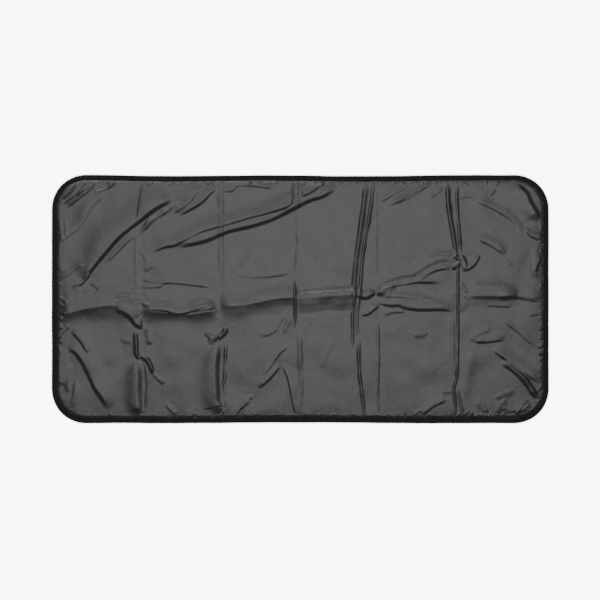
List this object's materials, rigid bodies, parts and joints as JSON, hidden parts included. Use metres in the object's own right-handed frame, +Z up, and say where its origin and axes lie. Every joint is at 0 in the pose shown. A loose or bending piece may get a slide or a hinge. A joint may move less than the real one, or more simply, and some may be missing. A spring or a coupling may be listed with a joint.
{
  "type": "folding solar blanket",
  "caption": "Flat foldable solar blanket with rounded corners, stiff cell panels in quilted fabric pockets, soft creases between them and a taped edge.",
  "frame": {"origin": "on the ground, under the middle of the blanket as it lies flat", "axes": "+X along the length, +Y across the two rows towards the row that folds over, +Z up, away from the cell side"},
  "size_m": [1.845, 0.926, 0.007],
  "materials": {
    "cover": "satin",
    "laminate": "gloss",
    "cells": "gloss",
    "binding": "matte",
    "housing": "matte",
    "lid": "matte",
    "screws": "satin",
    "terminals": "satin",
    "diodes": "satin"
  },
  "bodies": {
    "panel_upper_1": {"cover_upper_1": "cover", "laminate_upper_1": "laminate", "cells_upper_1": "cells", "binding_upper_1": "binding"},
    "panel_upper_2": {"cover_upper_2": "cover", "laminate_upper_2": "laminate", "cells_upper_2": "cells", "binding_upper_2": "binding"},
    "panel_upper_3": {"cover_upper_3": "cover", "laminate_upper_3": "laminate", "cells_upper_3": "cells", "binding_upper_3": "binding"},
    "panel_upper_4": {"cover_upper_4": "cover", "laminate_upper_4": "laminate", "cells_upper_4": "cells", "binding_upper_4": "binding"},
    "panel_upper_5": {"cover_upper_5": "cover", "laminate_upper_5": "laminate", "cells_upper_5": "cells", "binding_upper_5": "binding"},
    "panel_upper_6": {"cover_upper_6": "cover", "laminate_upper_6": "laminate", "cells_upper_6": "cells", "binding_upper_6": "binding"},
    "panel_lower_1": {"cover_lower_1": "cover", "laminate_lower_1": "laminate", "cells_lower_1": "cells", "binding_lower_1": "binding", "junction_pocket": "cover", "junction_housing": "housing", "junction_lid": "lid", "lid_screws": "screws", "terminal_plates": "terminals", "blocking_diodes": "diodes"},
    "panel_lower_2": {"cover_lower_2": "cover", "laminate_lower_2": "laminate", "cells_lower_2": "cells", "binding_lower_2": "binding"},
    "panel_lower_3": {"cover_lower_3": "cover", "laminate_lower_3": "laminate", "cells_lower_3": "cells", "binding_lower_3": "binding"},
    "panel_lower_4": {"cover_lower_4": "cover", "laminate_lower_4": "laminate", "cells_lower_4": "cells", "binding_lower_4": "binding"},
    "panel_lower_5": {"cover_lower_5": "cover", "laminate_lower_5": "laminate", "cells_lower_5": "cells", "binding_lower_5": "binding"},
    "panel_lower_6": {"cover_lower_6": "cover", "laminate_lower_6": "laminate", "cells_lower_6": "cells", "binding_lower_6": "binding"}
  },
  "joints": [
    {"name": "column_fold", "type": "hinge", "parent": "panel_lower_1", "child": "panel_lower_2", "pos_m": [-0.586, 0, 0.019], "axis": [0, -1, 0], "range_deg": [0, 180]},
    {"name": "column_fold_2", "type": "hinge", "parent": "panel_lower_2", "child": "panel_lower_3", "pos_m": [-0.293, 0, -0.001], "axis": [0, 1, 0], "range_deg": [0, 180]},
    {"name": "column_fold_3", "type": "hinge", "parent": "panel_lower_3", "child": "panel_lower_4", "pos_m": [0, 0, 0.019], "axis": [0, -1, 0], "range_deg": [0, 180]},
    {"name": "column_fold_4", "type": "hinge", "parent": "panel_lower_4", "child": "panel_lower_5", "pos_m": [0.293, 0, -0.001], "axis": [0, 1, 0], "range_deg": [0, 180]},
    {"name": "column_fold_5", "type": "hinge", "parent": "panel_lower_5", "child": "panel_lower_6", "pos_m": [0.586, 0, 0.019], "axis": [0, -1, 0], "range_deg": [0, 180]},
    {"name": "row_fold", "type": "hinge", "parent": "panel_lower_1", "child": "panel_upper_1", "pos_m": [-0.7325, 0, 0.009], "axis": [1, 0, 0], "range_deg": [0, 180]},
    {"name": "row_fold_2", "type": "hinge", "parent": "panel_lower_2", "child": "panel_upper_2", "pos_m": [-0.4395, 0, 0.009], "axis": [1, 0, 0], "range_deg": [0, 180]},
    {"name": "row_fold_3", "type": "hinge", "parent": "panel_lower_3", "child": "panel_upper_3", "pos_m": [-0.1465, 0, 0.009], "axis": [1, 0, 0], "range_deg": [0, 180]},
    {"name": "row_fold_4", "type": "hinge", "parent": "panel_lower_4", "child": "panel_upper_4", "pos_m": [0.1465, 0, 0.009], "axis": [1, 0, 0], "range_deg": [0, 180]},
    {"name": "row_fold_5", "type": "hinge", "parent": "panel_lower_5", "child": "panel_upper_5", "pos_m": [0.4395, 0, 0.009], "axis": [1, 0, 0], "range_deg": [0, 180]},
    {"name": "row_fold_6", "type": "hinge", "parent": "panel_lower_6", "child": "panel_upper_6", "pos_m": [0.7325, 0, 0.009], "axis": [1, 0, 0], "range_deg": [0, 180]}
  ],
  "couplings": [
    {"joint": "column_fold_2", "follows": "column_fold", "ratio": 1},
    {"joint": "column_fold_3", "follows": "column_fold", "ratio": 1},
    {"joint": "column_fold_4", "follows": "column_fold", "ratio": 1},
    {"joint": "column_fold_5", "follows": "column_fold", "ratio": 1},
    {"joint": "row_fold_2", "follows": "row_fold", "ratio": 1},
    {"joint": "row_fold_3", "follows": "row_fold", "ratio": 1},
    {"joint": "row_fold_4", "follows": "row_fold", "ratio": 1},
    {"joint": "row_fold_5", "follows": "row_fold", "ratio": 1},
    {"joint": "row_fold_6", "follows": "row_fold", "ratio": 1}
  ]
}
